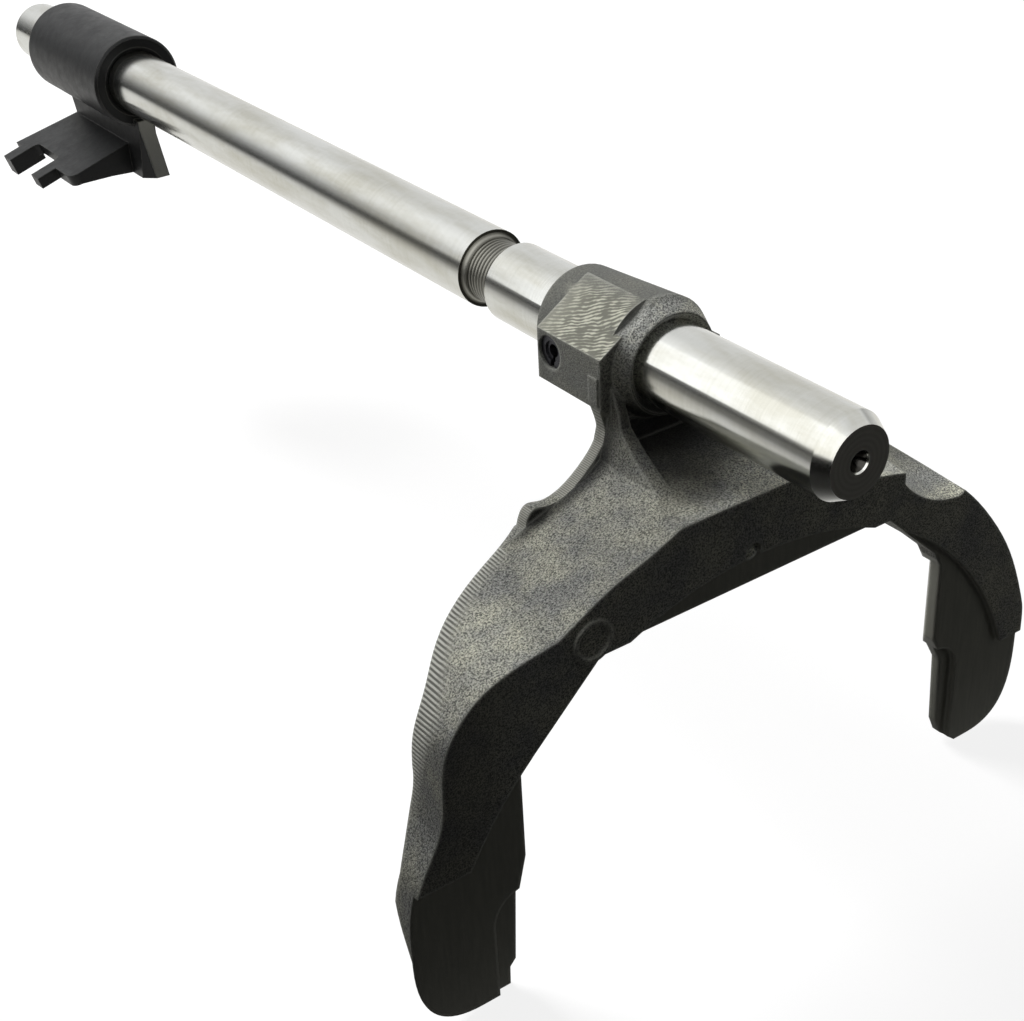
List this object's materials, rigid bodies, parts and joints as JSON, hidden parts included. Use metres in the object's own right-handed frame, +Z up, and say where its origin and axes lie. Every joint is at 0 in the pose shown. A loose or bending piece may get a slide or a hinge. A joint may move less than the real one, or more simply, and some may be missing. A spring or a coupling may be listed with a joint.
{
  "type": "shift fork",
  "caption": "Gearbox shift fork pinned on a ground shift rail, with a slotted selector gate pinned near the rail's far end.",
  "frame": {"origin": "centre of the rail's near end face, on the rail's axis", "axes": "+Y along the rail from the fork's end to the selector gate, +Z up, away from the fork's arms, +X to the right arm, away from the gate's prongs"},
  "size_m": [0.189, 0.42, 0.1406],
  "materials": {
    "ground_steel": "ground bright, with a turned groove and end",
    "cast_iron": "shot-blasted casting with machined pads and ground edges",
    "spring_steel": "blackened",
    "black_steel": "satin black"
  },
  "bodies": {
    "root": {"rail": "ground_steel", "fork": "cast_iron", "fork_pin": "spring_steel", "fork_pin_core": "spring_steel", "selector_gate": "black_steel", "gate_pin": "spring_steel"}
  },
  "joints": []
}
